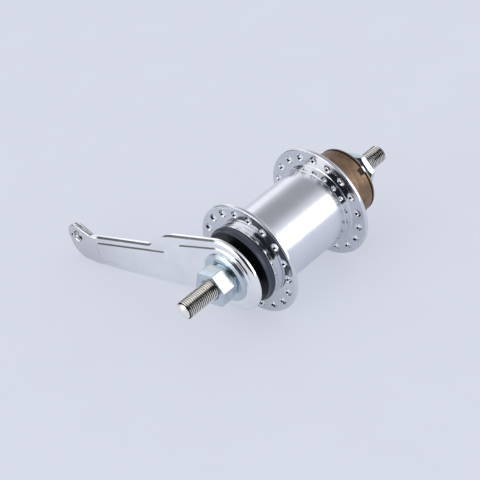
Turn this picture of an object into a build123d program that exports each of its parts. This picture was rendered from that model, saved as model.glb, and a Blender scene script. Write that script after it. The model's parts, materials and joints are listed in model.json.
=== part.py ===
from build123d import *
import math
import os

os.makedirs("parts", exist_ok=True)

# Frame: the origin is on the axle's centre line, in the plane of the brake-side locknut's outer face.
# +Y runs along the axle to the drive side, +Z is up, and the brake arm points towards -X.
# A station is a distance along the axle. All sizes are in millimetres and degrees.

# Axle and the faces that clamp in the frame
THREAD_R = 9.525 / 2
THREAD_DEPTH = 0.55
THREAD_GAP = 0.02
THREAD_END_GAP = 0.2
OVER_LOCKNUTS = 110.0
BRAKE_AXLE_END = 19.0
DRIVE_AXLE_END = 16.5
AXLE_CHAMFER = 0.8

# Locknuts
NUT_SIDES = 6
NUT_ACROSS_FLATS = 17.0
BRAKE_NUT_THICK = 8.2
DRIVE_NUT_THICK = 2.9
NUT_MOUTH = 1.4
NUT_CHAMFER = 0.75
NUT_ROOM = 1.0
BRAKE_NUT_TURN = 52.98
DRIVE_NUT_TURN = 55.48

# Washer under the brake-side locknut
WASHER_THICK = 3.3
WASHER_COLLAR = 1.2
WASHER_COLLAR_INSET = 0.3
WASHER_R = 12.9
WASHER_BEVEL = 1.7
WASHER_RIM = 0.9

# Brake arm, a steel pressing
ARM_LENGTH = 113.9
ARM_DROOP = 7.28
ARM_PLATE = 1.8
ARM_LIP = 3.8
ARM_LIP_WALL = 1.9
ARM_FOLD_R = 2.2
BOSS_R = 19.5
SHOULDER_AT = 39.1
SHOULDER_HALF = 14.9
SHOULDER_ROUND = 30.0
WAIST_AT = 53.0
WAIST_HALF = 6.3
WAIST_ROUND = 6.0
ARM_TOP_END = 1.0
ARM_BOTTOM_NEAR = 14.3
ARM_BOTTOM_FAR = 15.4
BOSS_ROUND = 6.0
PANEL_DEPTH = 1.0
PANEL_SLOPE = 40.0
PANEL_ROUND = 0.45
PANEL_PAD = 0.4
PANEL_BORDER = 3.6
PANEL_SHOULDER_BACK = 11.6
PANEL_SHOULDER_DROP = 2.9
PANEL_SHOULDER_ROUND = 10.0
PANEL_WAIST_BACK = 10.5
PANEL_WAIST_DROP = 1.3
PANEL_WAIST_ROUND = 7.0
PANEL_END = 13.7
PANEL_END_DROP = 2.7
PANEL_END_R = 3.5
PANEL_BOTTOM = 3.4
EAR_R = 7.8
EAR_DROP = 1.0
EAR_SLOPE = 4.5
EAR_ROUND = 4.0
HEEL_R = 10.6
HEEL_SETBACK = 2.4
EAR_GAP = 1.4
EAR_ROOT = 11.4
REAR_EAR_DROP = 2.5
REAR_EAR_ADVANCE = 1.2
STRAP_HOLE_R = 3.0
ARM_SEAT_R = 8.5
ARM_SEAT_FLAT = 7.0
ARM_SEAT_LENGTH = 1.6
SEAT_GAP = 0.05

# Hub shell
SHELL_R = 20.2
SHELL_WALL = 2.0
SHELL_EDGE = 0.3
SHELL_GAP = 0.3
NECK_GROOVE_AT = 1.4
NECK_GROOVE = 0.5
FLANGE_R = 29.5
FLANGE_THICK = 2.1
FLANGE_EDGE = 0.35
BRAKE_FLANGE_INSET = 4.35
DRIVE_FLANGE_INSET = 2.55
COLLAR_WALL = 0.5
COLLAR_LENGTH = 4.0
SPOKES_EACH_SIDE = 18
SPOKE_EDGE = 4.25
SPOKE_HOLE_R = 1.3
SPOKE_SINK = 0.7
SPOKE_TURN = 5.78

# Brake-side dust cap
CAP_SETBACK = 5.0
CAP_WALL = 0.8
CAP_EDGE = 0.5
CAP_INSET = 0.8
CAP_BEAD = 0.8
CAP_BEAD_WIDTH = 1.0
CAP_DEPTH = 3.5
CAP_SEAT_STEP = 1.2

# Ball bearings
BALL_R = 6.35 / 2
BALL_ROOM = 0.275
BRAKE_BALLS_INSET = 1.5
DRIVER_BALLS_INSET = 4.2
RACE_NECK = 4.2
RACE_SHOULDER = 0.75
RACE_GAP = 0.04
CUP_WALL = 0.75
CUP_DEPTH = 5.4
CUP_BORE_INSET = 0.15
CUP_MOUTH_INSET = 0.4
CAGE_THICK = 0.7
CAGE_HALF_WIDTH = 4.1
CAGE_POCKET_GAP = 0.15
CAGE_BAR = 0.12
SMALL_BALL_R = 4.7625 / 2
SMALL_PITCH_R = 8.9
SMALL_CUP_ROOM = 2.75
SMALL_CUP_INSET = 0.2
SMALL_CONE_NECK = 2.9
SMALL_CONE_SHOULDER = 0.7
SMALL_CAGE_HALF_WIDTH = 3.0
BALL_CORNERS = 10
BALL_RINGS = 4

# Brake cone: ball race and fixed expander
EXPANDER_GAP = 0.6
EXPANDER_DROP = 4.75
EXPANDER_LENGTH = 7.4
WEDGE_SLOPE = 0.42
KEY_INSET = 0.6
KEY_HALF_WIDTH = 1.6
KEY_HEIGHT = 0.5
KEY_LENGTH = 5.0

# Brake shoes
SHOE_CLEARANCE = 0.45
SHOE_CONTACT = 0.05
SHOE_SETBACK = 1.0
SHOE_SLOT = 4.4
SHOE_WEDGE_GAP = 0.08
SHOE_BORE_STEP = 0.7
SHOE_NOSE_STEP = 0.8
SHOE_NOSE_ROOM = 2.5

# Clutch cone, which runs on the driver's screw, and its taper in the shell
WEDGE_DROP = 6.15
WEDGE_REACH = 6.9
WEDGE_LENGTH = 7.2
CLUTCH_NOSE_STEP = 0.3
CLUTCH_NOSE_LENGTH = 3.0
CLUTCH_LAND = 4.4
CLUTCH_LAND_GAP = 1.6
CLUTCH_WALL = 1.72
CLUTCH_LEDGE = 1.6
CLUTCH_TO_CUP = 2.3
DRIVE_TAPER_LENGTH = 6.4
DRIVE_TAPER_FALL = 1.4
TAPER_GAP = 0.06
RETARDER_WIRE_R = 0.6
RETARDER_GAP = 0.05
RETARDER_OPENING = 40.0
RETARDER_TANG = 4.0

# Driver
SCREW_GAP = 0.08
SCREW_SETBACK = 5.5
SCREW_RUN_OUT = 1.7
SCREW_RELIEF = 0.5
DRIVER_BORE_GAP = 0.84
DRIVER_GAP = 0.8
DRIVER_SHOULDER_INSET = 0.1
DRIVER_SHOULDER_WIDTH = 12.4
SHOULDER_STEP = 0.5
SPROCKET_SEAT_WIDTH = 2.9
SNAP_GROOVE_WIDTH = 1.0
SNAP_GROOVE_DEPTH = 0.8
SNAP_RIM = 1.0
RIM_EDGE = 0.3
DISH_DEPTH = 1.2
DISH_WALL = 1.6
DISH_HUB_WALL = 1.55
NOTCHES = 3
NOTCH_WIDTH = 3.6
NOTCH_DEPTH = 1.6
NOTCH_TURN = 142.08

# Drive-side cone, its cap in the driver and the spacer
CONE_BALLS_DEPTH = 6.3
CONE_STAND_OUT = 5.2
WRENCH_FLAT_DEPTH = 0.9
WRENCH_LENGTH = 3.6
DRIVER_CAP_THICK = 0.8
DRIVER_CAP_INSET = 1.6
DRIVER_CAP_GAP = 0.3
SPACER_THICK = 2.6
SPACER_WALL = 3.4

# Stations from the brake side inwards
ARM_FLOOR = BRAKE_NUT_THICK + WASHER_THICK
ARM_FACE = ARM_FLOOR - PANEL_DEPTH
ARM_BACK = ARM_FACE + ARM_PLATE
ARM_FLOOR_BACK = ARM_FLOOR + ARM_PLATE
ARM_LIP_BACK = ARM_FACE + ARM_LIP
REAR_EAR = ARM_BACK + EAR_GAP
CAP_FRONT = ARM_LIP_BACK + CAP_SETBACK
CAP_BACK = CAP_FRONT + CAP_DEPTH
SHELL_START = CAP_BACK + SHELL_GAP
BRAKE_FLANGE_AT = SHELL_START + BRAKE_FLANGE_INSET
BRAKE_BALLS_AT = SHELL_START + BRAKE_BALLS_INSET
BRAKE_CUP_END = BRAKE_BALLS_AT + CUP_DEPTH
EXPANDER_START = BRAKE_CUP_END + EXPANDER_GAP
EXPANDER_END = EXPANDER_START + EXPANDER_LENGTH
SHOE_START = EXPANDER_START + SHOE_SETBACK

# Stations from the drive side inwards. The brake shoes take up what is left between the two
DRIVE_NUT_START = OVER_LOCKNUTS - DRIVE_NUT_THICK
DRIVE_CONE_END = DRIVE_NUT_START - SPACER_THICK
DRIVER_END = DRIVE_CONE_END - CONE_STAND_OUT
CONE_BALLS_AT = DRIVER_END - CONE_BALLS_DEPTH
SNAP_GROOVE_END = DRIVER_END - SNAP_RIM
SEAT_END = SNAP_GROOVE_END - SNAP_GROOVE_WIDTH
SHOULDER_END = SEAT_END - SPROCKET_SEAT_WIDTH
DRIVER_FACE = SHOULDER_END - DRIVER_SHOULDER_WIDTH
SHELL_END = DRIVER_FACE - DRIVER_GAP
DRIVE_FLANGE_AT = SHELL_END - DRIVE_FLANGE_INSET
DRIVER_BALLS_AT = SHELL_END - DRIVER_BALLS_INSET
DRIVE_CUP_START = DRIVER_BALLS_AT - CUP_DEPTH
CLUTCH_END = DRIVE_CUP_START - CLUTCH_TO_CUP
DRIVE_TAPER_START = CLUTCH_END - DRIVE_TAPER_LENGTH
CLUTCH_LAND_START = DRIVE_TAPER_START - CLUTCH_LAND
SHOE_END = CLUTCH_LAND_START - CLUTCH_LAND_GAP
WEDGE_START = SHOE_END - WEDGE_REACH
CLUTCH_START = WEDGE_START - CLUTCH_NOSE_LENGTH
RETARDER_AT = CLUTCH_START + CLUTCH_NOSE_LENGTH / 2
SCREW_START = CLUTCH_START + SCREW_SETBACK
SCREW_END = CLUTCH_END + SCREW_RUN_OUT

# Radii from the axle outwards and from the shell inwards
ROOT_R = THREAD_R - THREAD_DEPTH
BORE_R = ROOT_R + THREAD_GAP
COLLAR_R = SHELL_R + COLLAR_WALL
SPOKE_CIRCLE_R = FLANGE_R - SPOKE_EDGE
CAP_R = SHELL_R - CAP_INSET
SHELL_BORE_R = SHELL_R - SHELL_WALL
CUP_RACE_R = SHELL_BORE_R - CUP_WALL
PITCH_R = CUP_RACE_R - BALL_R - BALL_ROOM
CUP_BORE_R = PITCH_R - CUP_BORE_INSET
RACE_NECK_R = PITCH_R - RACE_NECK
RACE_SHOULDER_R = PITCH_R - RACE_SHOULDER
CAP_SEAT_R = RACE_SHOULDER_R - CAP_SEAT_STEP
SHOE_R = SHELL_BORE_R - SHOE_CLEARANCE
EXPANDER_R = SHOE_R - EXPANDER_DROP
EXPANDER_TIP_R = EXPANDER_R - WEDGE_SLOPE * EXPANDER_LENGTH
WEDGE_R = SHOE_R - WEDGE_DROP
CLUTCH_NOSE_R = WEDGE_R - CLUTCH_NOSE_STEP
CLUTCH_BORE_R = WEDGE_R - CLUTCH_WALL
SCREW_R = CLUTCH_BORE_R - SCREW_GAP
DRIVE_TAPER_BIG_R = SHELL_BORE_R - CLUTCH_LEDGE
DRIVE_TAPER_SMALL_R = DRIVE_TAPER_BIG_R - DRIVE_TAPER_FALL
DRIVER_BORE_R = THREAD_R + DRIVER_BORE_GAP
SHOULDER_R = SHELL_BORE_R - DRIVER_SHOULDER_INSET
SPROCKET_SEAT_R = SHOULDER_R - SHOULDER_STEP
SMALL_CUP_R = SMALL_PITCH_R + SMALL_CUP_ROOM
DRIVE_CONE_R = SMALL_PITCH_R - SMALL_CONE_SHOULDER

# A shoe slides out along both cones at once until it touches the shell
SHOE_LIFT = SHOE_CLEARANCE - SHOE_CONTACT
SHOE_CREEP = SHOE_LIFT / WEDGE_SLOPE
WEDGE_ANGLE = math.atan(WEDGE_SLOPE)


def station(y):
    """Plane across the axle: its X is towards -X, its Y is up and it faces the drive side."""
    return Plane(origin=(0, y, 0), x_dir=(-1, 0, 0), z_dir=(0, 1, 0))


def arm_plane(y):
    """Plane across the axle that is turned down with the arm, X along the arm."""
    droop = math.radians(ARM_DROOP)
    return Plane(origin=(0, y, 0), x_dir=(-math.cos(droop), 0, -math.sin(droop)), z_dir=(0, 1, 0))


def turned(*outline):
    """Solid turned about the axle from (radius, station) corners."""
    return revolve(make_face(Polyline(*outline, close=True)), Axis.Y)


def tube(outer, inner, start, end):
    """Plain ring between two stations."""
    return turned((inner, start), (outer, start), (outer, end), (inner, end))


def prism(sketch, start, end):
    """Sketch in the plane across the axle, extruded between two stations."""
    return extrude(station(start) * sketch, amount=end - start)


def arm_prism(sketch, start, end):
    """Sketch in the arm's plane, extruded between two stations."""
    return extrude(arm_plane(start) * sketch, amount=end - start)


def nearest_corner(sketch, x, y):
    """The corner of a sketch that is nearest to a point."""
    return min(sketch.vertices(), key=lambda v: math.hypot(v.X - x, v.Y - y))


def axle():
    """Both ends at the thread's crest, and the root circle where nuts and cones fill the thread."""
    start = -BRAKE_AXLE_END
    end = OVER_LOCKNUTS + DRIVE_AXLE_END
    tip_r = THREAD_R - AXLE_CHAMFER
    core_start = -THREAD_END_GAP
    core_end = OVER_LOCKNUTS + THREAD_END_GAP
    return turned(
        (0, start),
        (tip_r, start),
        (THREAD_R, start + AXLE_CHAMFER),
        (THREAD_R, core_start),
        (ROOT_R, core_start),
        (ROOT_R, core_end),
        (THREAD_R, core_end),
        (THREAD_R, end - AXLE_CHAMFER),
        (tip_r, end),
        (0, end),
    )


def locknut(start, thickness, turn, mouth_at_start):
    """Hexagon nut, its corners chamfered on the inner side, with a countersunk mouth outside."""
    end = start + thickness
    flat_r = NUT_ACROSS_FLATS / 2
    corner_r = flat_r / math.cos(math.pi / NUT_SIDES)
    blank = prism(RegularPolygon(corner_r, NUT_SIDES, rotation=turn), start, end)
    outer, inner = (start, end) if mouth_at_start else (end, start)
    inward = 1 if mouth_at_start else -1
    envelope = turned(
        (0, outer),
        (corner_r + NUT_ROOM, outer),
        (corner_r + NUT_ROOM, inner - inward * NUT_CHAMFER),
        (corner_r, inner - inward * NUT_CHAMFER),
        (flat_r, inner),
        (0, inner),
    )
    hole = turned(
        (0, outer),
        (BORE_R + NUT_MOUTH, outer),
        (BORE_R, outer + inward * NUT_MOUTH),
        (BORE_R, inner),
        (0, inner),
    )
    return blank & envelope - hole


def arm_washer():
    """Thick bright disc between the locknut and the arm, bevelled towards the nut."""
    start = BRAKE_NUT_THICK
    face = start + WASHER_COLLAR
    collar_r = NUT_ACROSS_FLATS / 2 - WASHER_COLLAR_INSET
    return turned(
        (BORE_R, start),
        (collar_r, start),
        (collar_r, face),
        (WASHER_R - WASHER_BEVEL, face),
        (WASHER_R, ARM_FLOOR - WASHER_RIM),
        (WASHER_R, ARM_FLOOR),
        (BORE_R, ARM_FLOOR),
    )


def touch_point(radius, x, y):
    """Point of a circle round the axle from which a tangent leads to a corner further out."""
    angle = math.atan2(y, x) + math.acos(radius / math.hypot(x, y))
    return (radius * math.cos(angle), radius * math.sin(angle))


def arm_outline():
    """Flat outline of the arm: boss, lever with a stepped top edge, and the rounded tip."""
    heel = ARM_LENGTH - HEEL_SETBACK
    ear_root = ARM_LENGTH - EAR_ROOT
    lever = make_face(
        Polyline(
            touch_point(BOSS_R, SHOULDER_AT, SHOULDER_HALF),
            (SHOULDER_AT, SHOULDER_HALF),
            (WAIST_AT, WAIST_HALF),
            (ear_root, ARM_TOP_END),
            (ARM_LENGTH - EAR_SLOPE, math.sqrt(EAR_R**2 - EAR_SLOPE**2) - EAR_DROP),
            (ARM_LENGTH, -EAR_DROP),
            (heel, -ARM_BOTTOM_FAR),
            (BOSS_R, -ARM_BOTTOM_NEAR),
            (0, -ARM_BOTTOM_NEAR),
            close=True,
        )
    )
    tip = Pos(ARM_LENGTH, -EAR_DROP) * Circle(EAR_R)
    heel_round = Pos(heel, HEEL_R - ARM_BOTTOM_FAR) * Circle(HEEL_R)
    heel_round -= Pos(heel, ARM_LENGTH - EAR_DROP) * Rectangle(2 * ARM_LENGTH, 2 * ARM_LENGTH)
    outline = lever + tip + heel_round + Circle(BOSS_R)
    roundings = (
        (SHOULDER_AT, SHOULDER_HALF, SHOULDER_ROUND),
        (WAIST_AT, WAIST_HALF, WAIST_ROUND),
        (ear_root, ARM_TOP_END, EAR_ROUND),
        (math.sqrt(BOSS_R**2 - ARM_BOTTOM_NEAR**2), -ARM_BOTTOM_NEAR, BOSS_ROUND),
    )
    for x, y, radius in roundings:
        outline = fillet(nearest_corner(outline, x, y), radius)
    return outline


def beyond(x):
    """Half plane past a distance along the arm."""
    reach = 2 * ARM_LENGTH
    return Pos(x + reach / 2, 0) * Rectangle(reach, reach)


def arm_panel():
    """Pressed panel: round the boss, along the lever under the stepped edge, and short of the ears."""
    radius = BOSS_R - PANEL_BORDER
    end = ARM_LENGTH - PANEL_END
    bottom = ARM_BOTTOM_NEAR - PANEL_BOTTOM
    shoulder = (SHOULDER_AT - PANEL_SHOULDER_BACK, SHOULDER_HALF - PANEL_SHOULDER_DROP)
    waist = (WAIST_AT - PANEL_WAIST_BACK, WAIST_HALF - PANEL_WAIST_DROP)
    top_end = (end, ARM_TOP_END - PANEL_END_DROP)
    bottom_end = (end, PANEL_BOTTOM - ARM_BOTTOM_FAR)
    start = touch_point(radius, *shoulder)
    panel = make_face(Polyline(start, shoulder, waist, top_end, bottom_end, (0, -bottom), close=True))
    panel += Circle(radius)
    panel = fillet(nearest_corner(panel, *shoulder), PANEL_SHOULDER_ROUND)
    panel = fillet(nearest_corner(panel, *waist), PANEL_WAIST_ROUND)
    panel = fillet(nearest_corner(panel, *top_end), PANEL_END_R)
    panel = fillet(nearest_corner(panel, *bottom_end), PANEL_END_R)
    return fillet(nearest_corner(panel, math.sqrt(radius**2 - bottom**2), -bottom), BOSS_ROUND)


def sloped(sketch, start, depth):
    """Sketch in the arm's plane, sunk by a depth with walls that slope in."""
    return extrude(arm_plane(start) * sketch, amount=depth, taper=PANEL_SLOPE)


def brake_arm():
    """Stamped arm: rolled lip, pressed panel, and a tip folded into two ears for the strap."""
    outline = arm_outline()
    panel = arm_panel()
    root = ARM_LENGTH - EAR_ROOT
    blank = arm_prism(outline, ARM_FACE, ARM_LIP_BACK)
    front = blank.faces().sort_by(Axis.Y)[0]
    blank = fillet(front.outer_wire().edges(), ARM_FOLD_R)
    inside = offset(outline, -ARM_LIP_WALL)
    body = blank - arm_prism(inside, ARM_BACK, ARM_LIP_BACK)
    body -= sloped(panel, ARM_FACE, PANEL_DEPTH)
    front, floor = body.faces().filter_by(Axis.Y).sort_by(Axis.Y)[:2]
    body = fillet(front.inner_wires()[0].edges() + floor.outer_wire().edges(), PANEL_ROUND)
    body += sloped(offset(panel, PANEL_PAD), ARM_BACK, PANEL_DEPTH)
    tip = outline & beyond(root)
    web = tip - Pos(0, ARM_LIP_WALL) * outline
    body -= arm_prism(tip - web, ARM_BACK, ARM_LIP_BACK)
    body += arm_prism(web, ARM_BACK, REAR_EAR + ARM_PLATE)
    rear_ear = tip & Pos(REAR_EAR_ADVANCE, -REAR_EAR_DROP) * outline
    body += arm_prism(rear_ear, REAR_EAR, REAR_EAR + ARM_PLATE)
    hole = Pos(ARM_LENGTH, -EAR_DROP) * Circle(STRAP_HOLE_R)
    body -= arm_prism(hole, ARM_FACE, REAR_EAR + ARM_PLATE)
    seat = Circle(ARM_SEAT_R + SEAT_GAP) & Rectangle(4 * ARM_SEAT_R, 2 * (ARM_SEAT_FLAT + SEAT_GAP))
    return body - arm_prism(seat, ARM_FACE, ARM_LIP_BACK)


def brake_side_dust_cap():
    """Pressed cup on the brake cone, with a rolled bead round its mouth."""
    bead = CAP_BACK - CAP_BEAD_WIDTH
    return turned(
        (CAP_SEAT_R, CAP_FRONT),
        (CAP_R - CAP_EDGE, CAP_FRONT),
        (CAP_R, CAP_FRONT + CAP_EDGE),
        (CAP_R, bead - CAP_BEAD),
        (CAP_R + CAP_BEAD, bead),
        (CAP_R + CAP_BEAD, CAP_BACK),
        (CAP_R - CAP_WALL, CAP_BACK),
        (CAP_R - CAP_WALL, CAP_FRONT + CAP_WALL),
        (CAP_SEAT_R, CAP_FRONT + CAP_WALL),
    )


def race(balls_at, pitch_r, ball_r, r_side, y_side, r):
    """Point of a straight race that touches the balls at 45 degrees, where it has radius r."""
    reach = (ball_r + RACE_GAP) * math.sqrt(2)
    return (r, balls_at + y_side * (reach - r_side * (r - pitch_r)))


def brake_cone():
    """Left cone: seat for the arm, ball race, and the fixed expander that the shoes climb."""
    cap_stop = CAP_FRONT + CAP_WALL
    body = turned(
        (BORE_R, ARM_FLOOR_BACK),
        (CAP_SEAT_R, ARM_FLOOR_BACK),
        (CAP_SEAT_R, cap_stop),
        (RACE_SHOULDER_R, cap_stop),
        race(BRAKE_BALLS_AT, PITCH_R, BALL_R, -1, -1, RACE_SHOULDER_R),
        race(BRAKE_BALLS_AT, PITCH_R, BALL_R, -1, -1, RACE_NECK_R),
        (RACE_NECK_R, EXPANDER_START),
        (EXPANDER_R, EXPANDER_START),
        (EXPANDER_TIP_R, EXPANDER_END),
        (BORE_R, EXPANDER_END),
    )
    seat = Circle(ARM_SEAT_R) & Rectangle(4 * ARM_SEAT_R, 2 * ARM_SEAT_FLAT)
    body += arm_prism(seat - Circle(BORE_R), ARM_FLOOR_BACK - ARM_SEAT_LENGTH, ARM_FLOOR_BACK)
    key_start = EXPANDER_START + KEY_INSET
    key_r = EXPANDER_R + KEY_HEIGHT
    key = prism(Rectangle(2 * KEY_HALF_WIDTH, 2 * key_r), key_start, key_start + KEY_LENGTH)
    return body + (key & tube(key_r, (BORE_R + EXPANDER_TIP_R) / 2, key_start, key_start + KEY_LENGTH))


def shell_barrel():
    """Drawn tube with a grooved neck at the brake side and the clutch taper inside."""
    groove = SHELL_START + NECK_GROOVE_AT
    floor = SHELL_R - NECK_GROOVE
    return turned(
        (SHELL_BORE_R, SHELL_START),
        (SHELL_R - SHELL_EDGE, SHELL_START),
        (SHELL_R, SHELL_START + SHELL_EDGE),
        (SHELL_R, groove),
        (floor, groove),
        (floor, groove + NECK_GROOVE),
        (SHELL_R, groove + NECK_GROOVE),
        (SHELL_R, SHELL_END),
        (SHELL_BORE_R, SHELL_END),
        (SHELL_BORE_R, DRIVE_CUP_START),
        (DRIVE_TAPER_SMALL_R + TAPER_GAP, DRIVE_CUP_START),
        (DRIVE_TAPER_SMALL_R + TAPER_GAP, CLUTCH_END),
        (DRIVE_TAPER_BIG_R + TAPER_GAP, DRIVE_TAPER_START),
        (SHELL_BORE_R, DRIVE_TAPER_START),
    )


def flange(middle, inner_side, turn):
    """Pressed flange with a collar on the barrel side and countersunk spoke holes."""
    low = middle - FLANGE_THICK / 2
    high = middle + FLANGE_THICK / 2
    inner = middle + inner_side * FLANGE_THICK / 2
    collar = (inner, inner + inner_side * COLLAR_LENGTH)
    disc = turned(
        (SHELL_R, low),
        (FLANGE_R - FLANGE_EDGE, low),
        (FLANGE_R, low + FLANGE_EDGE),
        (FLANGE_R, high - FLANGE_EDGE),
        (FLANGE_R - FLANGE_EDGE, high),
        (SHELL_R, high),
    )
    disc += tube(COLLAR_R, SHELL_R, min(collar), max(collar))
    half = FLANGE_THICK / 2
    drill = turned(
        (0, -half),
        (SPOKE_HOLE_R + SPOKE_SINK, -half),
        (SPOKE_HOLE_R, SPOKE_SINK - half),
        (SPOKE_HOLE_R, half - SPOKE_SINK),
        (SPOKE_HOLE_R + SPOKE_SINK, half),
        (0, half),
    )
    for index in range(SPOKES_EACH_SIDE):
        angle = turn + index * 360 / SPOKES_EACH_SIDE
        around = Rot(0, angle, 0) * Pos(-SPOKE_CIRCLE_R, middle, 0)
        disc -= around * drill
    return disc


def ball_cup(balls_at, y_side, mouth):
    """Ring pressed into the shell, its mouth at a station and its race towards the hub's middle."""
    end = balls_at + y_side * CUP_DEPTH
    return turned(
        (SHELL_BORE_R, mouth),
        (CUP_RACE_R, mouth),
        race(balls_at, PITCH_R, BALL_R, 1, y_side, CUP_RACE_R),
        race(balls_at, PITCH_R, BALL_R, 1, y_side, CUP_BORE_R),
        (CUP_BORE_R, end),
        (SHELL_BORE_R, end),
    )


def ball_count(pitch_r, ball_r, half_width):
    """As many balls as leave a bar between two windows at the narrow end of the cage."""
    narrow_r = pitch_r - half_width * math.sqrt(0.5)
    half_window = ball_r + CAGE_POCKET_GAP + CAGE_BAR / 2
    return int(math.pi / math.asin(half_window / narrow_r))


def faceted_ball(radius):
    """Ball of flat faces, whose corners lie on the sphere in level rings between two poles."""
    corners = [(0, 0, -radius), (0, 0, radius)]
    for level in range(BALL_RINGS):
        latitude = 180 * (level + 1) / (BALL_RINGS + 1) - 90
        height = radius * math.sin(math.radians(latitude))
        width = radius * math.cos(math.radians(latitude))
        for index in range(BALL_CORNERS):
            turn = index * 2 * math.pi / BALL_CORNERS
            corners.append((width * math.cos(turn), width * math.sin(turn), height))
    return ConvexPolyhedron(corners)


def ball_ring(balls_at, pitch_r, ball_r, count):
    """The balls of one bearing."""
    ball = faceted_ball(ball_r)
    balls = []
    for index in range(count):
        balls.append(Rot(0, index * 360 / count, 0) * Pos(-pitch_r, balls_at, 0) * ball)
    return Compound(children=balls)


def ball_cage(balls_at, pitch_r, ball_r, count, y_side, half_width):
    """Tapered strip through the row of balls, with one square window for each."""
    run = half_width * math.sqrt(0.5)
    thick = CAGE_THICK / 2 * math.sqrt(0.5)
    strip = turned(
        (pitch_r - run - thick, balls_at - y_side * (run - thick)),
        (pitch_r - run + thick, balls_at - y_side * (run + thick)),
        (pitch_r + run + thick, balls_at + y_side * (run - thick)),
        (pitch_r + run - thick, balls_at + y_side * (run + thick)),
    )
    side = 2 * (ball_r + CAGE_POCKET_GAP)
    window = Box(side, side, side)
    for index in range(count):
        around = Rot(0, index * 360 / count, 0) * Pos(-pitch_r, balls_at, 0)
        strip -= around * Rot(0, 0, 45) * window
    return strip


def clutch_cone():
    """Double cone: one taper drives the shell, the other spreads the shoes."""
    wedge_end = WEDGE_START + WEDGE_LENGTH
    wedge_big_r = WEDGE_R + WEDGE_SLOPE * WEDGE_LENGTH
    body = turned(
        (CLUTCH_BORE_R, CLUTCH_START),
        (CLUTCH_NOSE_R, CLUTCH_START),
        (CLUTCH_NOSE_R, WEDGE_START),
        (WEDGE_R, WEDGE_START),
        (wedge_big_r, wedge_end),
        (wedge_big_r, CLUTCH_LAND_START),
        (DRIVE_TAPER_BIG_R, CLUTCH_LAND_START),
        (DRIVE_TAPER_BIG_R, DRIVE_TAPER_START),
        (DRIVE_TAPER_SMALL_R, CLUTCH_END),
        (CLUTCH_BORE_R, CLUTCH_END),
    )
    wire = RETARDER_WIRE_R
    return body - tube(CLUTCH_NOSE_R, CLUTCH_NOSE_R - wire, RETARDER_AT - wire, RETARDER_AT + wire)


def retarder_spring():
    """Open ring of square wire in the clutch cone's groove, its tang between the two shoes."""
    wire = 2 * (RETARDER_WIRE_R - RETARDER_GAP)
    section = Pos(CLUTCH_NOSE_R, RETARDER_AT) * Rectangle(wire, wire)
    ring = Rot(0, -90, 0) * revolve(section, Axis.Y, 360 - RETARDER_OPENING)
    tang = Pos(wire / 2, RETARDER_AT, CLUTCH_NOSE_R + RETARDER_TANG / 2) * Box(wire, wire, RETARDER_TANG)
    return ring + tang


def shoe_room():
    """Everything that a shoe has to clear, seen from the shoe, from rest to full braking."""
    lift = SHOE_WEDGE_GAP / math.cos(WEDGE_ANGLE)
    expander = turned(
        (0, EXPANDER_START),
        (EXPANDER_R + lift, EXPANDER_START),
        (EXPANDER_TIP_R + lift, EXPANDER_END),
        (0, EXPANDER_END),
    )
    wedge = turned(
        (0, WEDGE_START),
        (WEDGE_R + lift, WEDGE_START),
        (WEDGE_R + lift + WEDGE_SLOPE * (CLUTCH_LAND_START - WEDGE_START), CLUTCH_LAND_START),
        (0, CLUTCH_LAND_START),
    )
    step = CLUTCH_START - SHOE_NOSE_ROOM
    room = tube(EXPANDER_TIP_R + SHOE_BORE_STEP, 0, SHOE_START, step)
    room += tube(WEDGE_R + SHOE_NOSE_STEP, 0, step, SHOE_END)
    room += expander + Pos(-SHOE_LIFT, SHOE_CREEP, 0) * expander
    return room + (wedge + Pos(-SHOE_LIFT, -SHOE_CREEP, 0) * wedge)


def brake_shoe(side):
    """Half shell on one side of the axle, tapered inside at both ends."""
    shoe = tube(SHOE_R, ROOT_R, SHOE_START, SHOE_END) - shoe_room()
    reach = 2 * SHOE_R
    middle = (SHOE_START + SHOE_END) / 2
    half = Pos(SHOE_SLOT / 2 + reach / 2, middle, 0) * Box(reach, 2 * reach, 2 * reach)
    shoe = shoe & half
    return shoe if side > 0 else Rot(0, 180, 0) * shoe


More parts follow.
